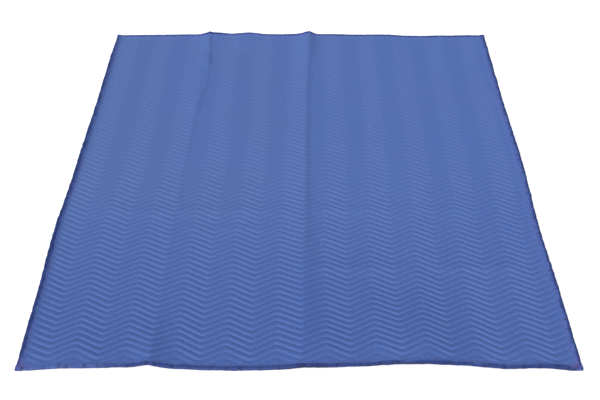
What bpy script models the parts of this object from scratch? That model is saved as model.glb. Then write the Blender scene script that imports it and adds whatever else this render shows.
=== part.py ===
"""Moving blanket: a quilted panel laid flat, its four edges bound with folded tape.

The pieces are made flat, as they are cut, and then laid: one height and one sway, both
functions of the place on the cloth, move every piece alike, so neighbours keep their gap.
X runs across the blanket, Y from its front edge to its back edge, Z up. The underside
lies on Z = 0, and only the creases and the lifted edges leave it.
"""

import bisect
import math

import bmesh
import bpy

# Driving dimensions, in metres.
WIDTH = 1.83              # across, outside the binding
LENGTH = 2.03             # front to back, outside the binding
QUILT_THICK = 0.0055      # face cloth, batting and backing together
HEM_THICK = 0.0040        # the same layers, pressed inside the binding
TAPE_THICK = 0.0008       # one layer of the binding tape
TAPE_WIDTH = 0.024        # what the folded tape covers, on each face
GAP = 0.0003              # clearance between neighbouring pieces
FOLD_TURN = 0.0012        # size of the turned corners of the tape's fold
PRESS_IN = 0.014          # run over which the quilt thins down to the hem
CELL = 0.078              # widest spacing of the panel's lattice lines

HALF_W = WIDTH / 2
HALF_L = LENGTH / 2
TAPE_SPACE = TAPE_THICK + GAP             # room the tape takes under, over and beyond the hem
FLAT_X = HALF_W - TAPE_WIDTH - PRESS_IN   # beyond these lines the cloth stays straight across
FLAT_Y = HALF_L - TAPE_WIDTH - PRESS_IN

# Lengthwise creases, each by stations along Y.
QUARTER_CREASE = (
    # y, crest x, reach of the left flank, reach of the right flank, height
    (-0.977, -0.483, 0.050, 0.040, 0.0060),
    (-0.850, -0.483, 0.050, 0.040, 0.0022),
    (-0.500, -0.482, 0.050, 0.030, 0.0014),
    (-0.090, -0.478, 0.050, 0.024, 0.0022),
    (0.170, -0.467, 0.050, 0.022, 0.0026),
    (0.330, -0.466, 0.050, 0.024, 0.0028),
    (0.430, -0.456, 0.055, 0.026, 0.0062),
    (0.500, -0.446, 0.055, 0.024, 0.0062),
    (0.570, -0.434, 0.050, 0.022, 0.0030),
    (0.700, -0.434, 0.050, 0.022, 0.0036),
    (0.790, -0.435, 0.050, 0.022, 0.0080),
    (0.977, -0.448, 0.052, 0.026, 0.0080),
)
CENTRE_CREASE = (
    # y, crest x, reach of the left flank, reach of the right flank, height
    (-0.977, 0.018, 0.110, 0.080, 0.0070),
    (-0.650, 0.022, 0.110, 0.080, 0.0080),
    (-0.320, 0.026, 0.110, 0.048, 0.0078),
    (-0.050, 0.028, 0.110, 0.027, 0.0070),
    (0.460, 0.034, 0.105, 0.024, 0.0066),
    (0.700, 0.038, 0.100, 0.026, 0.0074),
    (0.850, 0.046, 0.095, 0.036, 0.0104),
    (0.977, 0.048, 0.090, 0.042, 0.0120),
)
RIGHT_CREASE = (
    # y, crest x, reach of the left flank, reach of the right flank, height
    (-0.977, 0.425, 0.130, 0.110, 0.0040),
    (0.000, 0.437, 0.130, 0.110, 0.0030),
    (0.977, 0.450, 0.130, 0.110, 0.0020),
)
LONG_CREASES = (QUARTER_CREASE, CENTRE_CREASE, RIGHT_CREASE)

# Crosswise creases: crest line, reach to each side, where along X the crease starts and
# ends, and its height.
CROSS_CREASES = (
    # y, reach, x_start, x_end, height
    (-0.264, 0.060, -0.80, 0.75, 0.0025),
    (-0.362, 0.030, -0.47, -0.06, 0.0018),
    (-0.568, 0.055, -0.10, 0.86, 0.0030),
)

# Swells of the front and back edges: place along the edge, reach along it, reach into the
# cloth, and height.
EDGE_SWELLS = (
    # side, x, along, inward, height
    ("front", -0.700, 0.190, 0.16, 0.005),
    ("front", -0.483, 0.085, 0.20, 0.011),
    ("front", 0.110, 0.150, 0.22, 0.009),
    ("front", 0.400, 0.290, 0.34, 0.023),
    ("front", 0.740, 0.130, 0.14, 0.006),
    ("back", -0.450, 0.060, 0.18, 0.006),
    ("back", -0.400, 0.075, 0.16, 0.008),
    ("back", -0.259, 0.110, 0.15, 0.009),
    ("back", 0.045, 0.060, 0.16, 0.006),
)

# How far the side edges bow outward, and the end edges, at stations along them.
LEFT_BOW = ((-1.015, 0.003), (-0.70, 0.005), (-0.36, 0.012), (0.0, 0.003), (0.45, -0.002),
            (1.015, -0.004))
RIGHT_BOW = ((-1.015, 0.008), (-0.70, 0.004), (-0.36, -0.002), (0.02, 0.005), (0.50, -0.001),
             (1.015, 0.0))
FRONT_BOW = ((-0.915, 0.003), (-0.80, -0.004), (-0.70, -0.004), (-0.54, -0.010), (-0.45, -0.006),
             (-0.22, 0.001), (0.05, -0.001), (0.27, -0.008), (0.42, -0.002), (0.56, -0.006), (0.72, 0.001),
             (0.80, -0.002), (0.915, 0.004))
BACK_BOW = ((-0.915, -0.002), (-0.40, 0.003), (0.10, 0.0), (0.36, -0.006), (0.56, -0.018),
            (0.915, -0.014))


def clamp(value, low, high):
    return max(low, min(high, value))


def ease(t):
    """Smooth step from 0 to 1."""
    t = clamp(t, 0.0, 1.0)
    return t * t * (3.0 - 2.0 * t)


def blend_table(table, at):
    """Value of a (place, value) table, eased between its rows."""
    places = [row[0] for row in table]
    i = clamp(bisect.bisect_right(places, at), 1, len(table) - 1)
    (a, va), (b, vb) = table[i - 1], table[i]
    return va + (vb - va) * ease((at - a) / (b - a))


def crease_at(stations, y):
    """Crest x, left reach, right reach and height of a lengthwise crease at y."""
    return [blend_table([(row[0], row[1 + k]) for row in stations], y) for k in range(4)]


def flank(distance, reach):
    """Crease section: 1 at the crest, easing to 0 at its reach."""
    t = clamp(1.0 - abs(distance) / reach, 0.0, 1.0)
    return t * t * (2.0 - t)


def rise(x, y):
    """Height of the cloth's underside above the surface."""
    x = clamp(x, -FLAT_X, FLAT_X)
    y = clamp(y, -FLAT_Y, FLAT_Y)
    height = 0.0
    for stations in LONG_CREASES:
        crest_x, left, right, crest = crease_at(stations, y)
        from_crest = x - crest_x
        height += crest * flank(from_crest, left if from_crest < 0 else right)
    for y_crest, reach, x_start, x_end, crest in CROSS_CREASES:
        fade = ease((x - x_start) / 0.12) * ease((x_end - x) / 0.12)
        height = max(height, crest * fade * flank(y - y_crest, reach))
    for side, x_swell, reach_along, inward, swell in EDGE_SWELLS:
        depth = y + FLAT_Y if side == "front" else FLAT_Y - y
        height += swell * ease(1 - abs(x - x_swell) / reach_along) * ease(1 - depth / inward)
    return height


def sway(x, y):
    """Sideways shift of the cloth, which bows the edges and dies out toward the middle."""
    toward_side = ease((abs(x) - 0.4 * FLAT_X) / (0.6 * FLAT_X))
    toward_end = ease((abs(y) - 0.5 * FLAT_Y) / (0.5 * FLAT_Y))
    x_held = clamp(x, -FLAT_X, FLAT_X)
    y_held = clamp(y, -FLAT_Y, FLAT_Y)
    out_x = blend_table(LEFT_BOW if x < 0 else RIGHT_BOW, y_held) * math.copysign(1, x)
    out_y = blend_table(FRONT_BOW if y < 0 else BACK_BOW, x_held) * math.copysign(1, y)
    return out_x * toward_side, out_y * toward_end


def spaced(lines, widest):
    """Sorted lattice lines, with even lines added wherever two are further apart than allowed."""
    lines = sorted(lines)
    filled = [lines[0]]
    for a, b in zip(lines, lines[1:]):
        parts = max(1, math.ceil((b - a) / widest))
        filled += [a + (b - a) * k / parts for k in range(1, parts + 1)]
    return filled


def panel_lines():
    """Lattice lines of the panel, with lines on each crease's crest and toes, and at the
    stations where the quarter crease rises and falls."""
    x_lines = []
    for stations in LONG_CREASES:
        crest, left, right, _ = crease_at(stations, 0.0)
        x_lines += [crest - left, crest - left / 2, crest, crest + right / 2, crest + right]
    y_lines = [row[0] for row in QUARTER_CREASE if 0.0 < row[0] < FLAT_Y]
    for y_crest, reach, *_ in CROSS_CREASES:
        y_lines += [y_crest - reach, y_crest, y_crest + reach]
    hem_x, hem_y = HALF_W - TAPE_WIDTH - GAP, HALF_L - TAPE_WIDTH - GAP
    x_lines = spaced([-FLAT_X] + x_lines + [FLAT_X], CELL)
    y_lines = spaced([-FLAT_Y] + y_lines + [FLAT_Y], CELL)
    x_edge, y_edge = HALF_W - TAPE_SPACE - FOLD_TURN, HALF_L - TAPE_SPACE - FOLD_TURN
    return ([-x_edge, -hem_x] + x_lines + [hem_x, x_edge], [-y_edge, -hem_y] + y_lines + [hem_y, y_edge])


def slant(x, y):
    """Shift along X that makes the straight lattice lines follow the crests."""
    y = clamp(y, -FLAT_Y, FLAT_Y)
    table = [(-FLAT_X, 0.0)]
    for stations in LONG_CREASES:
        crest = crease_at(stations, 0.0)[0]
        table.append((crest, crease_at(stations, y)[0] - crest))
    table.append((FLAT_X, 0.0))
    i = clamp(bisect.bisect_right([row[0] for row in table], x), 1, len(table) - 1)
    (a, va), (b, vb) = table[i - 1], table[i]
    share = clamp((x - a) / (b - a), 0.0, 1.0)
    return va + (vb - va) * share


def grid_mesh(name, u_lines, v_lines, place):
    """Open sheet on a lattice; place(u, v) gives each point."""
    bm = bmesh.new()
    u_cells, v_cells = len(u_lines) - 1, len(v_lines) - 1
    bmesh.ops.create_grid(bm, x_segments=u_cells, y_segments=v_cells, size=0.5)
    for vert in bm.verts:
        i = round((vert.co.x + 0.5) * u_cells)
        j = round((vert.co.y + 0.5) * v_cells)
        vert.co = place(u_lines[i], v_lines[j])
    mesh = bpy.data.meshes.new(name)
    bm.to_mesh(mesh)
    bm.free()
    return mesh


def thickened(name, mesh, thickness, offset, collection):
    """Object whose mesh is the open sheet given a thickness, modifier applied."""
    sheet = bpy.data.objects.new(name + "_sheet", mesh)
    collection.objects.link(sheet)
    solidify = sheet.modifiers.new("thickness", "SOLIDIFY")
    solidify.thickness = thickness
    solidify.offset = offset
    solidify.use_even_offset = True
    depsgraph = bpy.context.evaluated_depsgraph_get()
    solid = bpy.data.meshes.new_from_object(sheet.evaluated_get(depsgraph))
    solid.name = name
    bpy.data.objects.remove(sheet)
    bpy.data.meshes.remove(mesh)
    piece = bpy.data.objects.new(name, solid)
    collection.objects.link(piece)
    return piece


def lay(piece):
    """Move a flat piece's points to where the laid cloth has them."""
    for vert in piece.data.vertices:
        x, y, z = vert.co
        x += slant(x, y)
        shift_x, shift_y = sway(x, y)
        vert.co = (x + shift_x, y + shift_y, z + rise(x, y))


def make_panel(collection):
    """Quilted panel: full thickness inside, thinned and raised off the surface at the hem."""
    x_lines, y_lines = panel_lines()
    mesh = grid_mesh("quilted_panel", x_lines, y_lines, lambda x, y: (x, y, 0.0))
    panel = thickened("quilted_panel", mesh, QUILT_THICK, 1.0, collection)
    for vert in panel.data.vertices:
        x, y, z = vert.co
        hem = max(abs(x) - FLAT_X, abs(y) - FLAT_Y) > GAP
        if hem:
            vert.co.z = TAPE_SPACE + (HEM_THICK if z > QUILT_THICK / 2 else 0.0)
    return panel


def centre(pieces):
    """Slide all pieces together so that the blanket's box is centred over the origin."""
    points = [vert.co for piece in pieces for vert in piece.data.vertices]
    middle = [(min(p[axis] for p in points) + max(p[axis] for p in points)) / 2 for axis in (0, 1)]
    for piece in pieces:
        for vert in piece.data.vertices:
            vert.co.x -= middle[0]
            vert.co.y -= middle[1]


def tape_section():
    """Middle line of the folded tape: distance outward from its inner edge, and height."""
    low = TAPE_THICK / 2
    high = TAPE_SPACE + HEM_THICK + GAP + TAPE_THICK / 2
    outer = TAPE_WIDTH - TAPE_THICK / 2
    return (
        (0.0, high),
        (outer - FOLD_TURN, high),
        (outer, high - FOLD_TURN),
        (outer, low + FOLD_TURN),
        (outer - FOLD_TURN, low),
        (0.0, low),
    )


def make_binding(name, side, collection):
    """Tape folded over one edge. The side tapes run full length, the end tapes between them."""
    x_lines, y_lines = panel_lines()
    section = tape_section()
    if side in ("left", "right"):
        out = -1 if side == "left" else 1
        stations = [-HALF_L] + y_lines[1:-1] + [HALF_L]
        inner = HALF_W - TAPE_WIDTH

        def place(station, k):
            across, height = section[int(k)]
            return (out * (inner + across), station, height)
    else:
        out = -1 if side == "front" else 1
        end = HALF_W - TAPE_WIDTH - GAP
        stations = [-end] + x_lines[2:-2] + [end]
        inner = HALF_L - TAPE_WIDTH

        def place(station, k):
            across, height = section[int(k)]
            return (station, out * (inner + across), height)
    mesh = grid_mesh(name, stations, list(range(len(section))), place)
    return thickened(name, mesh, TAPE_THICK, 0.0, collection)


def make_material(name, colour, roughness):
    material = bpy.data.materials.new(name)
    material.use_nodes = True
    shader = material.node_tree.nodes["Principled BSDF"]
    shader.inputs["Base Color"].default_value = (*colour, 1.0)
    shader.inputs["Roughness"].default_value = roughness
    shader.inputs["Metallic"].default_value = 0.0
    material.diffuse_color = (*colour, 1.0)
    return material


def main():
    for old in list(bpy.data.objects):
        bpy.data.objects.remove(old)
    collection = bpy.data.collections.new("moving_blanket")
    bpy.context.scene.collection.children.link(collection)

    pieces = [(make_panel(collection), make_material("quilted_cloth", (0.098, 0.162, 0.445), 0.9))]
    for side in ("left", "right", "front", "back"):
        tape = make_binding("binding_" + side, side, collection)
        pieces.append((tape, make_material("binding_tape_" + side, (0.045, 0.070, 0.270), 0.8)))
    for piece, material in pieces:
        lay(piece)
        piece.data.materials.append(material)
    centre([piece for piece, _ in pieces])


main()
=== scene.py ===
import bisect
import math
import random

import bmesh
import bpy
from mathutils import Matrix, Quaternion, Vector, noise


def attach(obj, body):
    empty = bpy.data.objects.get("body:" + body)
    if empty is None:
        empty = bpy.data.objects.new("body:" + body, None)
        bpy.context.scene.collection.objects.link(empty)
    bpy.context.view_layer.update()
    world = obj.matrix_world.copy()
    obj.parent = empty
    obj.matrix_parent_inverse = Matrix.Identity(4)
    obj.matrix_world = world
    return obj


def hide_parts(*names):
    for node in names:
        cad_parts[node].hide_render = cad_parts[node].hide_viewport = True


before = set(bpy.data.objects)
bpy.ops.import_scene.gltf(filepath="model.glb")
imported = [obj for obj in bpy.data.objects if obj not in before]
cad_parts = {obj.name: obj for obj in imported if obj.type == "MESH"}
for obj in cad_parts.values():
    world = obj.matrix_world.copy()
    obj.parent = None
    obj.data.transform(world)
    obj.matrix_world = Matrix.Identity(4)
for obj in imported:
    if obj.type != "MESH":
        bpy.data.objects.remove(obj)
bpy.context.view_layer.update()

# lengths are in metres
blanket = {
    "width": 1.83,          # across, outside the binding
    "length": 2.03,         # front to back, outside the binding
    "hem": 0.038,           # strip along each edge that creases and swells don't reach into
    "pressStart": 0.031,    # from the edge to where the quilt starts to thin down toward the tape
    "pressEnd": 0.021,      # from the edge to where the tape takes hold
    "swaySide": 0.6,        # share of the half width over which the side edges' bow dies out
    "swayEnd": 0.5,         # share of the half length over which the end edges' bow dies out
    "crossFade": 0.12,      # run over which a crosswise crease starts and ends
}
halfWidth = blanket["width"] / 2
halfLength = blanket["length"] / 2
flatX = halfWidth - blanket["hem"]
flatY = halfLength - blanket["hem"]

# lengthwise creases, as ridges, each by stations along Y
longCreases = {
    # y, x of the crest, reach of the left flank, reach of the right flank, height
    "quarter": (
        (-0.977, -0.483, 0.050, 0.040, 0.0060),
        (-0.850, -0.483, 0.050, 0.040, 0.0022),
        (-0.500, -0.482, 0.050, 0.030, 0.0014),
        (-0.090, -0.478, 0.050, 0.024, 0.0022),
        (0.170, -0.467, 0.050, 0.022, 0.0026),
        (0.330, -0.466, 0.050, 0.024, 0.0028),
        (0.430, -0.456, 0.055, 0.026, 0.0062),
        (0.500, -0.446, 0.055, 0.024, 0.0062),
        (0.570, -0.434, 0.050, 0.020, 0.0030),
        (0.700, -0.434, 0.050, 0.018, 0.0036),
        (0.790, -0.435, 0.050, 0.018, 0.0084),
        (0.850, -0.439, 0.050, 0.018, 0.0048),
        (0.977, -0.448, 0.052, 0.024, 0.0080),
    ),
    "centre": (
        (-0.977, 0.018, 0.110, 0.080, 0.0070),
        (-0.650, 0.022, 0.110, 0.080, 0.0080),
        (-0.320, 0.026, 0.110, 0.048, 0.0078),
        (-0.050, 0.028, 0.110, 0.027, 0.0070),
        (0.250, 0.030, 0.110, 0.024, 0.0066),
        (0.460, 0.034, 0.105, 0.022, 0.0066),
        (0.700, 0.038, 0.100, 0.026, 0.0074),
        (0.850, 0.046, 0.095, 0.036, 0.0104),
        (0.977, 0.048, 0.090, 0.042, 0.0120),
    ),
    "right": (
        (-0.977, 0.425, 0.130, 0.110, 0.0040),
        (0.000, 0.437, 0.130, 0.110, 0.0030),
        (0.977, 0.450, 0.130, 0.110, 0.0020),
    ),
}

crossCreases = (
    # y of the crest, reach to each side, start and end along X, height
    (-0.264, 0.060, -0.80, 0.75, 0.0025),
    (-0.362, 0.030, -0.47, -0.06, 0.0018),
    (-0.568, 0.055, -0.10, 0.86, 0.0030),
)

# lifted stretches of the front and back edges
edgeSwells = (
    # side, x, reach along the edge, reach inward, height
    ("front", -0.700, 0.190, 0.16, 0.005),
    ("front", -0.483, 0.085, 0.20, 0.011),
    ("front", 0.110, 0.150, 0.22, 0.009),
    ("front", 0.400, 0.290, 0.34, 0.023),
    ("front", 0.740, 0.130, 0.14, 0.006),
    ("back", -0.450, 0.060, 0.18, 0.006),
    ("back", -0.400, 0.075, 0.16, 0.008),
    ("back", -0.259, 0.110, 0.15, 0.009),
    ("back", 0.045, 0.060, 0.16, 0.006),
)

# how far each edge bows outward, at stations along it
bows = {
    "left": ((-1.015, 0.003), (-0.70, 0.005), (-0.36, 0.012), (0.0, 0.003), (0.45, -0.002),
             (1.015, -0.004)),
    "right": ((-1.015, 0.008), (-0.70, 0.004), (-0.36, -0.002), (0.02, 0.005), (0.50, -0.001),
              (1.015, 0.0)),
    "front": ((-0.915, 0.003), (-0.80, -0.0045), (-0.70, -0.0048), (-0.54, -0.0115), (-0.45, -0.0072),
              (-0.22, 0.001), (0.05, -0.0035), (0.27, -0.0095), (0.42, -0.0045), (0.56, -0.0085),
              (0.72, -0.001), (0.80, -0.0035), (0.915, 0.004)),
    "back": ((-0.915, -0.002), (-0.40, 0.003), (0.10, 0.0), (0.36, -0.006), (0.56, -0.018),
             (0.915, -0.014)),
}

# how high each edge curls up at its outer line, at stations along it
curls = {
    "left": ((-1.015, 0.004), (-0.72, 0.007), (-0.47, 0.012), (-0.20, 0.008), (0.11, 0.012),
             (0.46, 0.008), (0.79, 0.010), (1.015, 0.003)),
    "right": ((-1.015, 0.004), (-0.70, 0.007), (-0.40, 0.005), (0.00, 0.008), (0.50, 0.005),
              (1.015, 0.002)),
    "front": ((-0.915, 0.001), (-0.60, 0.001), (-0.25, 0.0), (0.10, 0.001), (0.45, 0.001), (0.915, 0.001)),
    "back": ((-0.915, 0.001), (-0.30, 0.002), (0.30, 0.001), (0.915, 0.0)),
}
cornerCurl = {"share": 0.3, "reach": 0.09}      # what a corner keeps of the curl, and how far that reaches


def clamp(value, low, high):
    return max(low, min(high, value))


def ease(t):
    # smooth step from 0 to 1
    t = clamp(t, 0.0, 1.0)
    return t * t * (3.0 - 2.0 * t)


def blendTable(table, at):
    # value of a table of places and values, eased between its rows
    places = [row[0] for row in table]
    i = clamp(bisect.bisect_right(places, at), 1, len(table) - 1)
    (a, va), (b, vb) = table[i - 1], table[i]
    return va + (vb - va) * ease((at - a) / (b - a))


def uneven(x, y, z):
    # smooth noise, from about -1 to 1: factors on x and y set how fine it is, and z picks which
    return noise.noise(Vector((x, y, z)))


def sampled(table, low, high, count=800):
    # the same table as a list at even steps, so that it is quick to read
    columns = len(table[0]) - 1
    rows = []
    for k in range(count + 1):
        at = low + (high - low) * k / count
        rows.append([blendTable([(row[0], row[1 + c]) for row in table], at) for c in range(columns)])
    return rows


def nearestRow(rows, share):
    # row of a sampled table at this share of its length
    return rows[int(clamp(share, 0.0, 1.0) * (len(rows) - 1) + 0.5)]


creaseRows = {name: sampled(table, -flatY, flatY) for name, table in longCreases.items()}


def creaseAt(name, y):
    return nearestRow(creaseRows[name], (y + flatY) / (2 * flatY))


def flank(distance, reach):
    # section of a crease: 1 at the crest, 0 at its reach
    t = clamp(1.0 - abs(distance) / reach, 0.0, 1.0)
    return t * t * (2.0 - t)


def curl(x, y):
    # how far the edges turn up, growing toward their outer line and less at the corners
    height = 0.0
    for beyond, side, along, toCorner in (
            (abs(x) - flatX, "left" if x < 0 else "right", clamp(y, -flatY, flatY), halfLength - abs(y)),
            (abs(y) - flatY, "front" if y < 0 else "back", clamp(x, -flatX, flatX), halfWidth - abs(x))):
        if beyond > 0:
            kept = cornerCurl["share"] + (1 - cornerCurl["share"]) * ease(toCorner / cornerCurl["reach"])
            height += blendTable(curls[side], along) * min(beyond / blanket["hem"], 1.05) ** 2 * kept
    return height


def rise(x, y):
    # height of the cloth's underside above the floor
    turnedUp = curl(x, y)
    x = clamp(x, -flatX, flatX)
    y = clamp(y, -flatY, flatY)
    height = 0.0
    for name in longCreases:
        crestX, left, right, crest = creaseAt(name, y)
        fromCrest = x - crestX
        if -left < fromCrest < right:
            height += crest * flank(fromCrest, left if fromCrest < 0 else right)
    for yCrest, reach, xStart, xEnd, crest in crossCreases:
        if abs(y - yCrest) < reach:
            fade = ease((x - xStart) / blanket["crossFade"]) * ease((xEnd - x) / blanket["crossFade"])
            height = max(height, crest * fade * flank(y - yCrest, reach))
    for side, xSwell, reachAlong, inward, swell in edgeSwells:
        depth = y + flatY if side == "front" else flatY - y
        if depth < inward and abs(x - xSwell) < reachAlong:
            height += swell * ease(1 - abs(x - xSwell) / reachAlong) * ease(1 - depth / inward)
    return height + turnedUp


def sway(x, y):
    # sideways shift that bows the edges and dies out toward the middle
    towardSide = ease(1 - (flatX - abs(x)) / (blanket["swaySide"] * flatX))
    towardEnd = ease(1 - (flatY - abs(y)) / (blanket["swayEnd"] * flatY))
    outX, outY = 0.0, 0.0
    if towardSide > 0:
        bow = bows["left" if x < 0 else "right"]
        outX = blendTable(bow, clamp(y, -flatY, flatY)) * math.copysign(1, x)
    if towardEnd > 0:
        bow = bows["front" if y < 0 else "back"]
        outY = blendTable(bow, clamp(x, -flatX, flatX)) * math.copysign(1, y)
    return outX * towardSide, outY * towardEnd


def outermost(side, reach):
    return max(row[0] for row in sampled(bows[side], -reach, reach, 400))


# the edges bow out unevenly, so all pieces slide together until their box is over the origin
slideX = (outermost("left", flatY) - outermost("right", flatY)) / 2
slideY = (outermost("front", flatX) - outermost("back", flatX)) / 2


def laid(x, y, z):
    # where a point of the flat blanket is once it lies on the floor
    shiftX, shiftY = sway(x, y)
    return Vector((x + shiftX + slideX, y + shiftY + slideY, z + rise(x, y)))


def spaced(lines, widest):
    # sorted lines, with even lines added wherever two are further apart than allowed
    lines = sorted(lines)
    filled = [lines[0]]
    for a, b in zip(lines, lines[1:]):
        parts = max(1, math.ceil((b - a) / widest - 1e-6))
        filled += [a + (b - a) * k / parts for k in range(1, parts + 1)]
    return filled


stitchRows = {
    "pitch": 0.0257,        # from one stitched row to the next
    "start": 0.004,         # how far the first row is shifted from the front edge
    "zigPeriod": 0.1664,    # one full zigzag, so eleven fit across
    "zigDepth": 0.0455,     # a zigzag's depth before its corners are rounded
    "cornerRound": 0.992,   # 1 is a sharp zigzag
    "waver": 0.0030,        # slow drift of a row, as a quilting machine leaves it
    "jitter": 0.0009,       # quick drift of a row
    # how far the zigzag corners have worked to the right, at stations along Y
    "cornerShift": ((-1.015, 0.009), (-0.65, 0.011), (-0.45, 0.013), (-0.25, 0.020), (-0.05, 0.029),
                    (0.15, 0.032), (1.015, 0.030)),
    "frontRightShift": -0.007,      # added to it at the front right
    "cornerWander": 0.0040,         # how far it differs from corner to corner
}
shiftRows = sampled(stitchRows["cornerShift"], -halfLength, halfLength)
rowCount = math.ceil(blanket["length"] / stitchRows["pitch"])


def cornerDrift(x, row):
    # how far a zigzag corner has worked sideways in this row
    along = row * stitchRows["pitch"] / blanket["length"]
    shift = nearestRow(shiftRows, along)[0]
    shift += stitchRows["frontRightShift"] * ease((x - 0.35) / 0.30) * ease((0.40 - along) / 0.20)
    return shift + stitchRows["cornerWander"] * uneven(x * 1.3, row * 0.085, 12.4)


def zigTurn(x, row):
    # angle that goes once round with each zigzag
    return 2 * math.pi * (x - cornerDrift(x, row) + halfWidth) / stitchRows["zigPeriod"]


def rowLine(x, row):
    # y of stitched row number `row` at x
    zigzag = math.asin(stitchRows["cornerRound"] * math.cos(zigTurn(x, row))) / math.pi
    drift = stitchRows["waver"] * uneven(x * 2.1, row * 0.11, 3.1)
    drift += stitchRows["jitter"] * uneven(x * 9.0, row * 0.60, 7.7)
    y = -halfLength + stitchRows["start"] + row * stitchRows["pitch"]
    return y + stitchRows["zigDepth"] * zigzag + drift


def legSide(x, row):
    # 1 in the middle of a zigzag leg that runs toward the front, -1 in the middle of the next
    return math.sin(zigTurn(x, row))


def rowPhase(x, y):
    # which row, in parts of a row, lies at (x, y); three steps come close enough
    row = (y + halfLength - stitchRows["start"]) / stitchRows["pitch"]
    for step in range(3):
        row += (y - rowLine(x, row)) / stitchRows["pitch"]
    return row


def addMesh(name, verts, faces, material, uvs=None, tones=None):
    # smooth mesh piece; uvs and tones hold one entry for each vertex
    mesh = bpy.data.meshes.new(name)
    mesh.from_pydata(verts, [], faces)
    if uvs:
        layer = mesh.uv_layers.new(name="cloth")
        for loop in mesh.loops:
            layer.data[loop.index].uv = uvs[loop.vertex_index]
    if tones:
        layer = mesh.color_attributes.new(name="tone", type="FLOAT_COLOR", domain="POINT")
        for index, tone in enumerate(tones):
            layer.data[index].color = (tone[0], tone[1], tone[2], 1.0)
    mesh.shade_smooth()
    mesh.materials.append(material)
    obj = bpy.data.objects.new(name, mesh)
    bpy.context.scene.collection.objects.link(obj)
    return obj


def gridFaces(rows, columns):
    faces = []
    for j in range(rows - 1):
        for i in range(columns - 1):
            a = j * columns + i
            faces.append((a, a + 1, a + columns + 1, a + columns))
    return faces


def toLinear(hexColour):
    # sRGB hex colour as the linear values that sockets take
    channels = [int(hexColour[k:k + 2], 16) / 255 for k in (1, 3, 5)]
    return tuple(c / 12.92 if c <= 0.04045 else ((c + 0.055) / 1.055) ** 2.4 for c in channels) + (1.0,)


def addNode(tree, kind, values=None, links=None, **settings):
    # one node, with its settings, its socket values and what feeds its sockets
    node = tree.nodes.new(kind)
    for key, value in settings.items():
        setattr(node, key, value)
    for key, value in (values or {}).items():
        node.inputs[key].default_value = value
    for key, source in (links or {}).items():
        tree.links.new(source, node.inputs[key])
    return node


def newMaterial(name):
    material = bpy.data.materials.new(name)
    material.use_nodes = True
    material.node_tree.nodes.clear()
    return material, material.node_tree


def mixColour(tree, factor, first, second, blend="MIX"):
    # colour sockets of the Mix node are numbers 6 and 7, its colour result is output 2
    node = addNode(tree, "ShaderNodeMix", data_type="RGBA", blend_type=blend)
    for index, source in ((0, factor), (6, first), (7, second)):
        if isinstance(source, (tuple, float)):
            node.inputs[index].default_value = source
        else:
            tree.links.new(source, node.inputs[index])
    return node.outputs[2]


def waveScale(period):
    # Scale that gives a Wave texture bands this far apart, in metres
    return 2 * math.pi / (20 * period)


clothLook = {
    "base": "#4A629C",
    "faded": "#4D6498",
    # painted shade: the darker colour laid on toward the front, where the light falls off
    "frontShade": "#415993",
    "legShadeTint": "#F4F7FB",   # painted shade: multiplies every other leg of the zigzag, darkening the legs that catch less light
    "lint": "#7B89B2",
    "roughness": 0.72,
    "sheen": 0.10,
    "sheenTint": "#8FA6DC",
    "yarn": 0.0016,         # real yarns are 0.5 mm apart, too fine to show, so drawn three times coarser
    "mottle": 0.011,        # size of the uneven dye flecks
    "lintSize": 1 / 420,    # size of the specks of lint
    "wrinkle": 1 / 90,      # size of the fine wrinkles
}


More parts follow.
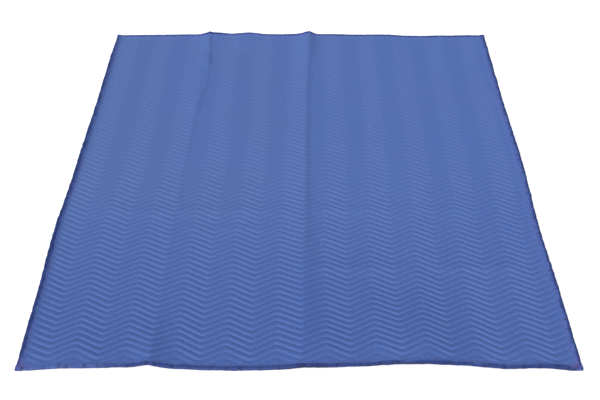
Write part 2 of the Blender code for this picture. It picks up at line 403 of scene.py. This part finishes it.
def quiltedClothMaterial():
    # matt and slightly mottled, with a faint lighter bloom where fibres stand up
    material, tree = newMaterial("polyester cotton cloth, plain woven")
    coords = addNode(tree, "ShaderNodeTexCoord").outputs["Object"]
    tone = addNode(tree, "ShaderNodeVertexColor", layer_name="tone").outputs["Color"]
    tones = addNode(tree, "ShaderNodeSeparateColor", links={"Color": tone})
    colour = mixColour(tree, tones.outputs["Red"], toLinear(clothLook["base"]),
                       toLinear(clothLook["faded"]))
    # painted shade, darker toward the front
    colour = mixColour(tree, tones.outputs["Green"], colour, toLinear(clothLook["frontShade"]))
    # painted shade on every other leg of the zigzag
    colour = mixColour(tree, tones.outputs["Blue"], colour, toLinear(clothLook["legShadeTint"]), "MULTIPLY")
    mottle = addNode(tree, "ShaderNodeTexNoise",
                     {"Scale": 1 / clothLook["mottle"], "Detail": 2.0, "Roughness": 0.6},
                     {"Vector": coords})
    shade = addNode(tree, "ShaderNodeMapRange",
                    {"From Min": 0.3, "From Max": 0.7, "To Min": 0.95, "To Max": 1.05},
                    {"Value": mottle.outputs["Fac"]})
    colour = mixColour(tree, 1.0, colour, shade.outputs["Result"], "MULTIPLY")
    flecks = addNode(tree, "ShaderNodeTexNoise", {"Scale": 1 / clothLook["lintSize"], "Detail": 1.0},
                     {"Vector": coords})
    lint = addNode(tree, "ShaderNodeMapRange",
                   {"From Min": 0.70, "From Max": 0.78, "To Min": 0.0, "To Max": 0.5},
                   {"Value": flecks.outputs["Fac"]})
    colour = mixColour(tree, lint.outputs["Result"], colour, toLinear(clothLook["lint"]))
    yarns = {"Scale": waveScale(clothLook["yarn"]), "Distortion": 0.6}
    warp = addNode(tree, "ShaderNodeTexWave", yarns, {"Vector": coords}, bands_direction="X")
    weft = addNode(tree, "ShaderNodeTexWave", yarns, {"Vector": coords}, bands_direction="Y")
    weave = addNode(tree, "ShaderNodeMath", links={0: warp.outputs["Fac"], 1: weft.outputs["Fac"]},
                    operation="MULTIPLY")
    wrinkles = addNode(tree, "ShaderNodeTexNoise",
                       {"Scale": 1 / clothLook["wrinkle"], "Detail": 3.0, "Roughness": 0.55},
                       {"Vector": coords})
    relief = addNode(tree, "ShaderNodeBump", {"Strength": 0.5, "Distance": 0.0014},
                     {"Height": wrinkles.outputs["Fac"]})
    relief = addNode(tree, "ShaderNodeBump", {"Strength": 0.25, "Distance": 0.0003},
                     {"Height": weave.outputs["Value"], "Normal": relief.outputs["Normal"]})
    shader = addNode(tree, "ShaderNodeBsdfPrincipled",
                     {"Roughness": clothLook["roughness"], "Sheen Weight": clothLook["sheen"],
                      "Sheen Roughness": 0.45, "Sheen Tint": toLinear(clothLook["sheenTint"]),
                      "Specular IOR Level": 0.3},
                     {"Base Color": colour, "Normal": relief.outputs["Normal"]})
    addNode(tree, "ShaderNodeOutputMaterial", links={"Surface": shader.outputs["BSDF"]})
    return material


tapeLook = {
    # lighter colour of the tape's flat; where more of it shows, as on the right tape, it is partly painted
    # sheen
    "faded": "#445994",
    # the tape's own navy; where it reaches further in, as set per side below, it is also painted shade
    "navyAndShade": "#20326B",
    "selvedge": "#555592",
    # painted shade and shadow: dark in the gathers and under the fold
    "paintedShade": "#11173A",
    "roughness": 0.65,
    "rib": 0.0015,          # real ribs are 0.6 mm apart, too fine to show, so drawn coarser
    "rubbing": 1 / 70,      # size of the rubbed patches
}


def tapeMaterial():
    # matt with ribs across it; navy where it folds over the edge, with painted shade where the navy
    # reaches further in on rims turned from the light, and lighter, toward the colour of the cloth, on its
    # flat; painted shade and shadow darken its gathers and the underside of its fold
    material, tree = newMaterial("polyester binding tape, woven")
    uv = addNode(tree, "ShaderNodeUVMap", uv_map="cloth").outputs["UV"]
    tone = addNode(tree, "ShaderNodeVertexColor", layer_name="tone").outputs["Color"]
    tones = addNode(tree, "ShaderNodeSeparateColor", links={"Color": tone})
    colour = mixColour(tree, tones.outputs["Red"], toLinear(tapeLook["faded"]),
                       toLinear(tapeLook["navyAndShade"]))
    colour = mixColour(tree, tones.outputs["Green"], colour, toLinear(tapeLook["selvedge"]))
    # painted shade in the gathers and painted shadow under the fold
    colour = mixColour(tree, tones.outputs["Blue"], colour, toLinear(tapeLook["paintedShade"]))
    rubbed = addNode(tree, "ShaderNodeTexNoise",
                     {"Scale": 1 / tapeLook["rubbing"], "Detail": 3.0, "Roughness": 0.6}, {"Vector": uv})
    shade = addNode(tree, "ShaderNodeMapRange",
                    {"From Min": 0.3, "From Max": 0.7, "To Min": 0.82, "To Max": 1.18},
                    {"Value": rubbed.outputs["Fac"]})
    colour = mixColour(tree, 1.0, colour, shade.outputs["Result"], "MULTIPLY")
    ribs = addNode(tree, "ShaderNodeTexWave", {"Scale": waveScale(tapeLook["rib"]), "Distortion": 0.4},
                   {"Vector": uv}, bands_direction="X")
    relief = addNode(tree, "ShaderNodeBump", {"Strength": 0.4, "Distance": 0.0003},
                     {"Height": ribs.outputs["Fac"]})
    shader = addNode(tree, "ShaderNodeBsdfPrincipled",
                     {"Roughness": tapeLook["roughness"], "Specular IOR Level": 0.3},
                     {"Base Color": colour, "Normal": relief.outputs["Normal"]})
    addNode(tree, "ShaderNodeOutputMaterial", links={"Surface": shader.outputs["BSDF"]})
    return material


threadLook = {
    "quilting": "#40558D",
    "edging": "#455993",
    "roughness": 0.5,
    "twist": 0.0012,        # real strands lie 0.4 mm apart, too fine to show, so drawn three times coarser
}


def threadMaterial(use):
    # a little shinier than the cloth, with fine slanting ribs from its twist
    material, tree = newMaterial("polyester sewing thread, " + use)
    coords = addNode(tree, "ShaderNodeTexCoord").outputs["Object"]
    twist = addNode(tree, "ShaderNodeTexWave", {"Scale": waveScale(threadLook["twist"])},
                    {"Vector": coords}, bands_direction="DIAGONAL")
    relief = addNode(tree, "ShaderNodeBump", {"Strength": 0.5, "Distance": 0.0002},
                     {"Height": twist.outputs["Fac"]})
    shader = addNode(tree, "ShaderNodeBsdfPrincipled",
                     {"Base Color": toLinear(threadLook[use]), "Roughness": threadLook["roughness"],
                      "Specular IOR Level": 0.4},
                     {"Normal": relief.outputs["Normal"]})
    addNode(tree, "ShaderNodeOutputMaterial", links={"Surface": shader.outputs["BSDF"]})
    return material


clothMaterial = quiltedClothMaterial()
bindingMaterial = tapeMaterial()
quiltingThread = threadMaterial("quilting")
edgingThread = threadMaterial("edging")

# where the face and the back share their mesh columns and rows
lattice = {
    "edgeInset": 0.004,         # the cut edge, inside the fold of the tape
    "crestShift": 0.028,        # the zigzag's shift carries the columns of a crease this far to the right
    "crestFollow": 0.075,       # columns this near a crease move over with it
    "driftFade": 0.10,          # strip along the sides where the columns straighten out
    "rowFade": 0.075,           # strip along the ends where the mesh rows straighten out
}

quiltFace = {
    "stitchHeight": 0.0028,     # top of the cloth beside a stitched row
    "groove": 0.0006,           # how far the thread draws it down along the row
    "grooveReach": 0.05,        # in parts of a channel, to each side of the row
    "puff": 0.0030,             # how far a channel swells above it
    "crown": 0.30,              # where across a channel it is highest; 0.5 is the middle
    # the filling is flatter toward the back: share of the puff at stations along Y
    "puffAlong": ((-1.015, 0.95), (-0.55, 0.79), (-0.25, 0.57), (0.05, 0.31), (0.32, 0.22),
                  (1.015, 0.18)),
    "legPuff": 0.32,            # how much fuller the legs that run toward the front are, toward the back
    "channelPuff": 0.20,        # how much channels differ in fullness
    "lumps": 0.16,              # how lumpy the filling is within a channel
    "hemHeight": 0.0046,        # top of the cloth where the tape holds it
    "widestColumn": 0.0120,
    "besideCrest": (-0.024, -0.012, -0.006, 0.0, 0.006, 0.012, 0.024),   # columns at a crease
    "channelSteps": (0.0, 0.05, 0.14, 0.27, 0.42, 0.68, 0.95),           # mesh rows in a channel
}
puffRows = sampled(quiltFace["puffAlong"], -halfLength, halfLength)


def puffShape(phase):
    # section of a channel from 0 to 1, steeper on its front side, where the filling is pushed to
    t = phase - math.floor(phase)
    crown = quiltFace["crown"]
    if t < crown:
        return (1 - math.cos(math.pi * t / crown)) / 2
    return (1 + math.cos(math.pi * (t - crown) / (1 - crown))) / 2


def heldByTape(x, y):
    # 0 on the open quilt, 1 where the tape presses it
    over = max(abs(x) - halfWidth, abs(y) - halfLength) + blanket["pressStart"]
    return ease(over / (blanket["pressStart"] - blanket["pressEnd"]))


def faceHeight(x, y, phase):
    # top of the cloth above the underside
    swell = 1.0 + quiltFace["channelPuff"] * uneven(x * 7.0, math.floor(phase) * 1.7, 5.0)
    swell += quiltFace["lumps"] * uneven(x * 34.0, y * 34.0, 9.0)
    swell += quiltFace["legPuff"] * legSide(x, phase) * ease((y + 0.55) / 0.6)
    share = puffRows[int(clamp((y + halfLength) / blanket["length"], 0.0, 1.0) * (len(puffRows) - 1))][0]
    drawnDown = clamp(1 - abs(phase - round(phase)) / quiltFace["grooveReach"], 0.0, 1.0)
    lofted = quiltFace["puff"] * swell * puffShape(phase) - quiltFace["groove"] * drawnDown
    lofted = quiltFace["stitchHeight"] + share * lofted
    held = heldByTape(x, y)
    return lofted * (1 - held) + quiltFace["hemHeight"] * held


# the mesh column that runs along each sharp crease: its place before the columns are shifted
crestColumns = {name: creaseAt(name, 0.0)[0] - lattice["crestShift"] for name in ("quarter", "centre")}


def clothLines(cloth):
    # mesh columns on the zigzag corners and creases, and mesh rows that follow the stitching
    xEdge = halfWidth - lattice["edgeInset"]
    pressed = halfWidth - blanket["pressStart"]
    leg = stitchRows["zigPeriod"] / 2
    lines = [-xEdge, xEdge, -pressed, pressed]
    lines += [-halfWidth + k * leg for k in range(1, int(blanket["width"] / leg) + 1)]
    for crest in crestColumns.values():
        lines += [crest + away for away in cloth["besideCrest"]]
    phases = [row + step for row in range(rowCount) for step in cloth["channelSteps"]]
    return spaced(lines, cloth["widestColumn"]), phases


def clothPoint(x, phase, lastPhase):
    # flat place of a mesh point, and its phase: it follows the rows inside, and straightens out
    # toward the front and back edge
    yEdge = halfLength - lattice["edgeInset"]
    even = -yEdge + 2 * yEdge * phase / lastPhase
    drifted = x + cornerDrift(x, phase) * ease((halfWidth - abs(x)) / lattice["driftFade"])
    for name, crest in crestColumns.items():
        follow = clamp(1 - abs(x - crest) / lattice["crestFollow"], 0.0, 1.0)
        if follow > 0:
            drifted += follow * (creaseAt(name, even)[0] - crest - cornerDrift(crest, phase))
    nearEdge = ease(min(even + yEdge, yEdge - even) / lattice["rowFade"])
    y = even + (rowLine(drifted, phase) - even) * nearEdge
    return drifted, y, phase if nearEdge >= 1.0 else rowPhase(drifted, y)


wear = {
    "fading": 0.4,          # how faded the middle is, and how much that grows to the left
    "patches": (            # more faded patches: x, y, reach along X, reach along Y
        (-0.72, 0.02, 0.32, 0.36),
        (-0.33, -0.20, 0.24, 0.26),
    ),
    "frontRight": 0.25,     # how much less of the painted front shade there is at the front right
    "legShadeFront": 0.35,       # how strong the painted leg shade is at the front, against the back
}


def clothTone(x, y):
    # faded, front shade and leg shade amounts: the left half is a little greyer; the front is painted
    # darker, as painted shade for the light falling off toward it;
    # and every other leg of the zigzag is painted a little darker, as painted shade for the legs that
    # catch less light
    faded = wear["fading"] * (1 - x / halfWidth + uneven(x * 3.1, y * 3.1, 21.0))
    for patchX, patchY, reachX, reachY in wear["patches"]:
        faded += wear["fading"] * ease(1 - math.hypot((x - patchX) / reachX, (y - patchY) / reachY))
    # painted shade toward the front, with a little random unevenness, and less of it at the front right
    frontShade = ease(0.10 - y) + 0.15 * uneven(x * 2.3, y * 2.3, 33.0)
    frontShade -= wear["frontRight"] * ease(x / halfWidth) * ease((-0.3 - y) / 0.4)
    # painted shade: every other leg of the zigzag a little darker
    leg = clamp(0.5 - 0.9 * legSide(x, (y + halfLength) / stitchRows["pitch"]), 0.0, 1.0)
    leg *= wear["legShadeFront"] + (1 - wear["legShadeFront"]) * ease((y + 0.6) / 0.9)
    return clamp(faded, 0.0, 1.0), clamp(frontShade, 0.0, 1.0), leg


def makeCloth(name, cloth, material, heightAt):
    # one layer of the quilt; heightAt gives its height above the underside
    xLines, phases = clothLines(cloth)
    verts, tones = [], []
    for step in phases:
        for line in xLines:
            x, y, phase = clothPoint(line, step, phases[-1])
            verts.append(laid(x, y, heightAt(x, y, phase)))
            tones.append(clothTone(x, y))
    return addMesh(name, verts, gridFaces(len(phases), len(xLines)), material, tones=tones)


face = makeCloth("quilt_face", quiltFace, clothMaterial, faceHeight)
print("quilt face:", len(face.data.polygons), "faces")

quiltBack = {
    "stitchHeight": 0.0014,     # underside of the cloth at a stitched row
    "restHeight": 0.0002,       # underside of a channel, on the floor
    "hemHeight": 0.0012,        # underside of the cloth where the tape holds it
    "widestColumn": 0.020,
    "besideCrest": (-0.012, 0.0, 0.012),
    "channelSteps": (0.0, 0.25, 0.50, 0.75),
}


def backHeight(x, y, phase):
    # underside of the cloth, which hangs down between the stitched rows
    drop = quiltBack["stitchHeight"] - quiltBack["restHeight"]
    held = heldByTape(x, y)
    hanging = quiltBack["stitchHeight"] - drop * puffShape(phase)
    return hanging * (1 - held) + quiltBack["hemHeight"] * held


back = makeCloth("quilt_back", quiltBack, clothMaterial, backHeight)
back.data.flip_normals()
print("quilt back:", len(back.data.polygons), "faces")

stitches = {
    "quiltLength": 0.0063,      # one stitch and the hole after it, along a row
    "quiltWidth": 0.0011,
    "tapeLength": 0.0042,
    "tapeWidth": 0.0010,
    "height": 0.0006,
    "gap": 0.16,                # share of the length taken by the needle hole
    "clearCloth": 0.0002,       # how far the thread lies above the cloth
    "tapeTop": 0.0051,          # top of the tape at its seam
    "tapeEnd": 0.006,           # from the corner to the first stitch of the tape
}


def addStitch(verts, faces, start, end, width):
    # one stitch, as a small four-sided grain between two needle holes
    along = end - start
    side = Vector((-along.y, along.x, 0.0)).normalized() * (width / 2)
    middle = (start + end) / 2
    first = start + along * (stitches["gap"] / 2)
    last = end - along * (stitches["gap"] / 2)
    base = len(verts)
    up = Vector((0.0, 0.0, stitches["height"]))
    verts += [first, middle - side, middle + up, middle + side, last]
    faces += [(base, base + 1, base + 2), (base, base + 2, base + 3),
              (base + 1, base + 4, base + 2), (base + 2, base + 4, base + 3)]


def makeQuilting(material):
    # the rows of stitches through the quilt, each as far as the tape
    verts, faces = [], []
    reach = halfWidth - blanket["pressEnd"]
    yReach = halfLength - blanket["pressEnd"]
    legSlope = 2 * stitchRows["zigDepth"] / stitchRows["zigPeriod"]
    step = stitches["quiltLength"] / math.hypot(1.0, legSlope)
    for row in range(-1, rowCount + 2):
        before = None
        for k in range(int(2 * reach / step)):
            x = -reach + k * step
            y = rowLine(x, row)
            if abs(y) > yReach:
                before = None
                continue
            here = laid(x, y, faceHeight(x, y, float(row)) + stitches["clearCloth"])
            if before:
                addStitch(verts, faces, before, here, stitches["quiltWidth"])
            before = here
    return addMesh("quilting_thread", verts, faces, material)


quilting = makeQuilting(quiltingThread)
print("quilting thread:", len(quilting.data.polygons), "faces")

bindings = {
    "width": 0.0215,
    # the tape's outer face from its inner edge round to its underside: share of its width, height
    "section": ((0.0, 0.0046), (0.01, 0.0050), (0.05, 0.0053), (0.11, 0.0053), (0.16, 0.0051),
                (0.21, 0.0054), (0.30, 0.0059), (0.42, 0.0064), (0.54, 0.0067), (0.66, 0.0066),
                (0.77, 0.0061), (0.86, 0.0052), (0.94, 0.0040), (0.985, 0.0028), (1.0, 0.0018),
                (0.985, 0.0008), (0.93, 0.0002), (0.75, 0.0), (0.40, 0.0), (0.0, 0.0)),
    "seam": 0.16,           # share of the width where it is stitched down
    "stationSpacing": 0.0025,
    # along each tape: the share of its width where the navy begins, and how strong it is there; the navy
    # is the tape's own colour, and where it begins further in and is stronger it is also painted shade of
    # a rim turned from the light
    "navyAndShade": {
        "left": ((-1.015, 0.38, 0.95), (-0.30, 0.38, 1.00), (0.30, 0.44, 0.95), (1.015, 0.52, 0.95)),
        "right": ((-1.015, 0.56, 0.95), (0.20, 0.54, 0.95), (1.015, 0.42, 0.90)),
        "front": ((-0.915, 0.80, 0.50), (-0.70, 0.80, 0.50), (-0.58, 0.55, 0.80), (-0.48, 0.40, 0.95),
                  (-0.40, 0.32, 0.80), (-0.06, 0.32, 0.80), (0.02, 0.22, 0.95), (0.12, 0.50, 0.95),
                  (0.75, 0.50, 0.95), (0.82, 0.26, 0.90), (0.915, 0.24, 0.90)),
        "back": ((-0.915, 0.36, 0.70), (-0.50, 0.36, 0.70), (-0.44, 0.10, 0.95), (-0.34, 0.36, 0.70),
                 (0.10, 0.30, 0.80), (0.915, 0.20, 0.90)),
    },
    # painted shadow under the fold along the front tape, darkest where the edge is lifted off the floor
    "rimShadow": ((-0.915, 0.2), (-0.50, 0.3), (-0.10, 0.3), (-0.02, 0.95), (0.08, 0.95), (0.13, 0.3),
                (0.24, 0.8), (0.42, 0.9), (0.52, 0.3), (0.915, 0.6)),
    "navyBlend": 0.45,      # share of the width over which the navy comes on
    "rimWander": 0.24,      # how unevenly it begins, as a share of the width
    "cornerWear": 0.05,     # stretch at a corner that is rubbed like the selvedge
    "pleatDepth": 0.0018,
    "pleatWidth": 0.0038,
    "pleatStart": 0.02,     # from a corner to the first gather
    "pleatSpacing": {"left": (0.020, 0.060), "right": (0.020, 0.060), "front": (0.016, 0.070),
                     "back": (0.018, 0.050)},
    # the front tape is bunched up: from, to, and the share of the spacing that is left there
    "bunched": (0.00, 0.15, 0.35),
    "pleatLean": 0.30,
    "waver": 0.0016,        # slow unevenness of the outer edge
    "jitter": 0.0014,       # quick unevenness of the outer edge
    "innerWaver": 0.35,     # share of both at the inner edge
    "puffy": 0.0009,        # unevenness of the height
    "overSide": 0.0006,     # how far the end tapes stand over the side tapes at the corners
}


def pleatPlaces(side, end, rng):
    # small gathers along a tape: place, depth and lean
    places, s = [], -end + bindings["pleatStart"]
    bunchFrom, bunchTo, closer = bindings["bunched"]
    while s < end - bindings["pleatStart"]:
        places.append((s, rng.uniform(0.15, 1.0), rng.uniform(-1.0, 1.0)))
        spacing = rng.uniform(*bindings["pleatSpacing"][side])
        s += spacing * (closer if side == "front" and bunchFrom < s < bunchTo else 1.0)
    return places


def pleatAt(pleats, starts, s, share):
    # depth of the nearest gathers at this place, 0 to 1
    total = 0.0
    i = bisect.bisect_left(starts, s)
    for place, depth, lean in pleats[max(0, i - 2):i + 2]:
        leaning = lean * bindings["pleatLean"] * bindings["width"] * (share - bindings["seam"])
        away = (s - place - leaning) / bindings["pleatWidth"]
        if abs(away) < 3:
            total += depth * math.exp(-away * away)
    return min(total, 1.0)


def makeBinding(side, material, seed):
    # one tape; its tones are how navy it is, with painted shade, how rubbed at the selvedge, and how much
    # painted shade and shadow it has in its gathers and under its fold
    section = bindings["section"]
    lengthwise = side in ("left", "right")
    out = -1 if side in ("left", "front") else 1
    end = halfLength if lengthwise else halfWidth
    width = bindings["width"]
    inner = (halfWidth if lengthwise else halfLength) - width
    stations = spaced([-end, end], bindings["stationSpacing"])
    pleats = pleatPlaces(side, end, random.Random(seed))
    starts = [row[0] for row in pleats]
    verts, uvs, tones = [], [], []
    for s in stations:
        wander = bindings["waver"] * uneven(s * 14.0, seed * 5.0, 2.0)
        wander += bindings["jitter"] * uneven(s * 46.0, seed * 5.0, 4.0)
        rimWander = bindings["rimWander"] * uneven(s * 18.0, seed * 5.0, 6.0)
        edgeShow = ease(0.4 + 2.2 * uneven(s * 4.0, seed * 5.0, 8.0))
        navyFrom = blendTable([(row[0], row[1]) for row in bindings["navyAndShade"][side]], s)
        navyMost = blendTable([(row[0], row[2]) for row in bindings["navyAndShade"][side]], s)
        # painted shadow under the fold, set along the front tape and even on the others
        rimShadow = blendTable(bindings["rimShadow"], s) if side == "front" else 0.3
        for share, height in section:
            top = clamp(height / 0.004, 0.0, 1.0)
            gather = pleatAt(pleats, starts, s, share) * ease((share - 0.10) / 0.10)
            gather *= ease((1.08 - share) / 0.25) * top
            puffy = bindings["puffy"] * uneven(s * 15.0, seed * 3.0, share * 1.5)
            z = height - bindings["pleatDepth"] * gather + puffy * top * ease(share / 0.3)
            if not lengthwise:
                z += bindings["overSide"] * top
            across = width * share + wander * (1.0 if share > 0.5 else bindings["innerWaver"])
            place = (out * (inner + across), s) if lengthwise else (s, out * (inner + across))
            verts.append(laid(place[0], place[1], z))
            uvs.append((s, share * width))
            # navy, partly the tape's own colour and partly painted shade; below, it is made full under the
            # fold
            navyAndShade = navyMost * ease((share + rimWander - navyFrom) / bindings["navyBlend"] + 0.5)
            selvedge = edgeShow * ease((0.12 - share) / 0.06)
            if side != "back":
                fromCorner = (s + end if lengthwise else end - abs(s)) / bindings["cornerWear"]
                selvedge = max(selvedge, 0.8 * ease(1.4 - fromCorner) * ease((0.75 - share) / 0.3))
            # painted shadow on the underside of the fold, and painted shade in the gathers
            paintedShade = rimShadow * ease((share - 0.72) / 0.25) if height < 0.0055 else 0.0
            tones.append((max(navyAndShade, 1 - top), selvedge, min(0.6 * gather + paintedShade, 0.9)))
    faces = gridFaces(len(stations), len(section))
    last = (len(stations) - 1) * len(section)
    faces += [tuple(range(len(section)))[::-1], tuple(range(last, last + len(section)))]    # its ends
    return addMesh("tape_" + side, verts, faces, material, uvs, tones)


tapes = {side: makeBinding(side, bindingMaterial, seed)
         for seed, side in enumerate(("left", "right", "front", "back"))}
print("binding tapes:", [len(tape.data.polygons) for tape in tapes.values()], "faces")


def makeEdging(material):
    # the row of stitches that holds each tape down
    verts, faces = [], []
    for side in tapes:
        lengthwise = side in ("left", "right")
        out = -1 if side in ("left", "front") else 1
        end = (halfLength if lengthwise else halfWidth) - stitches["tapeEnd"]
        fromEdge = bindings["width"] * (1 - bindings["seam"])
        line = out * ((halfWidth if lengthwise else halfLength) - fromEdge)
        lift = stitches["tapeTop"] + (0.0 if lengthwise else bindings["overSide"])
        before = None
        for k in range(int(2 * end / stitches["tapeLength"])):
            s = -end + k * stitches["tapeLength"]
            here = laid(line, s, lift) if lengthwise else laid(s, line, lift)
            if before:
                addStitch(verts, faces, before, here, stitches["tapeWidth"])
            before = here
    return addMesh("edging_thread", verts, faces, material)


edging = makeEdging(edgingThread)
print("edging thread:", len(edging.data.polygons), "faces")

# every piece rides the one body, and stands for a solid or trims one
for piece in (face, back, quilting):
    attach(piece, "root")
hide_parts("quilted_panel")
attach(edging, "root")
for side, tape in tapes.items():
    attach(tape, "root")
    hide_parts("binding_" + side)

studio = {
    "floor": "#FAFAFA",
    "floorSize": 14.0,
    "floorDrop": 0.0006,    # keeps the floor just under the cloth that lies on it
    "sunHeight": 43.0,      # degrees above the floor
    "sunFrom": 27.0,        # degrees to the left of straight in front
    "sunStrength": 4.12,
    "sunSoftness": 12.0,    # degrees across
    "ambient": "#EDF3FF",
    "ambientStrength": 0.44,
    "lens": 50.9,           # millimetres
    "cameraTilt": 42.75,    # degrees below level
    "cameraHeight": 2.272,
    "cameraInFront": 1.643, # from the front edge
    "cameraAside": 0.0315,
    "cameraTurn": 0.57,     # degrees, to the left
    "cameraRoll": -0.53,    # degrees
}


def makeFloor():
    # matt paint, even and pale, with next to no shine
    bm = bmesh.new()
    bmesh.ops.create_grid(bm, x_segments=4, y_segments=4, size=studio["floorSize"])
    mesh = bpy.data.meshes.new("floor")
    bm.to_mesh(mesh)
    bm.free()
    floor = bpy.data.objects.new("floor", mesh)
    floor.location.z = -studio["floorDrop"]
    bpy.context.scene.collection.objects.link(floor)
    material, tree = newMaterial("studio floor, matt painted")
    shader = addNode(tree, "ShaderNodeBsdfPrincipled",
                     {"Base Color": toLinear(studio["floor"]), "Roughness": 0.9,
                      "Specular IOR Level": 0.1})
    addNode(tree, "ShaderNodeOutputMaterial", links={"Surface": shader.outputs["BSDF"]})
    mesh.materials.append(material)


def makeLights():
    # one broad light from the front left, and an even glow all round
    sun = bpy.data.lights.new("key light", "SUN")
    sun.energy = studio["sunStrength"]
    sun.angle = math.radians(studio["sunSoftness"])
    lamp = bpy.data.objects.new("key light", sun)
    turn, height = math.radians(studio["sunFrom"]), math.radians(studio["sunHeight"])
    level = math.cos(height)
    toward = Vector((-math.sin(turn) * level, -math.cos(turn) * level, math.sin(height)))
    lamp.rotation_euler = toward.to_track_quat("Z", "Y").to_euler()
    bpy.context.scene.collection.objects.link(lamp)
    world = bpy.data.worlds.new("studio")
    world.use_nodes = True
    glow = world.node_tree.nodes["Background"]
    glow.inputs["Color"].default_value = toLinear(studio["ambient"])
    glow.inputs["Strength"].default_value = studio["ambientStrength"]
    bpy.context.scene.world = world


def makeCamera():
    camera = bpy.data.cameras.new("camera")
    camera.lens = studio["lens"]
    camera.sensor_width = 36.0
    camera.clip_end = 50.0
    view = bpy.data.objects.new("camera", camera)
    view.location = (studio["cameraAside"], -halfLength - studio["cameraInFront"],
                     studio["cameraHeight"])
    tilt, turn = math.radians(studio["cameraTilt"]), math.radians(studio["cameraTurn"])
    level = math.cos(tilt)
    ahead = Vector((-math.sin(turn) * level, math.cos(turn) * level, -math.sin(tilt)))
    look = ahead.to_track_quat("-Z", "Y")
    view.rotation_mode = "QUATERNION"
    view.rotation_quaternion = look @ Quaternion((0, 0, 1), math.radians(studio["cameraRoll"]))
    bpy.context.scene.collection.objects.link(view)
    bpy.context.scene.camera = view


makeFloor()
makeLights()
makeCamera()
bpy.context.scene.view_settings.view_transform = "Standard"
print("floor, light and camera set")
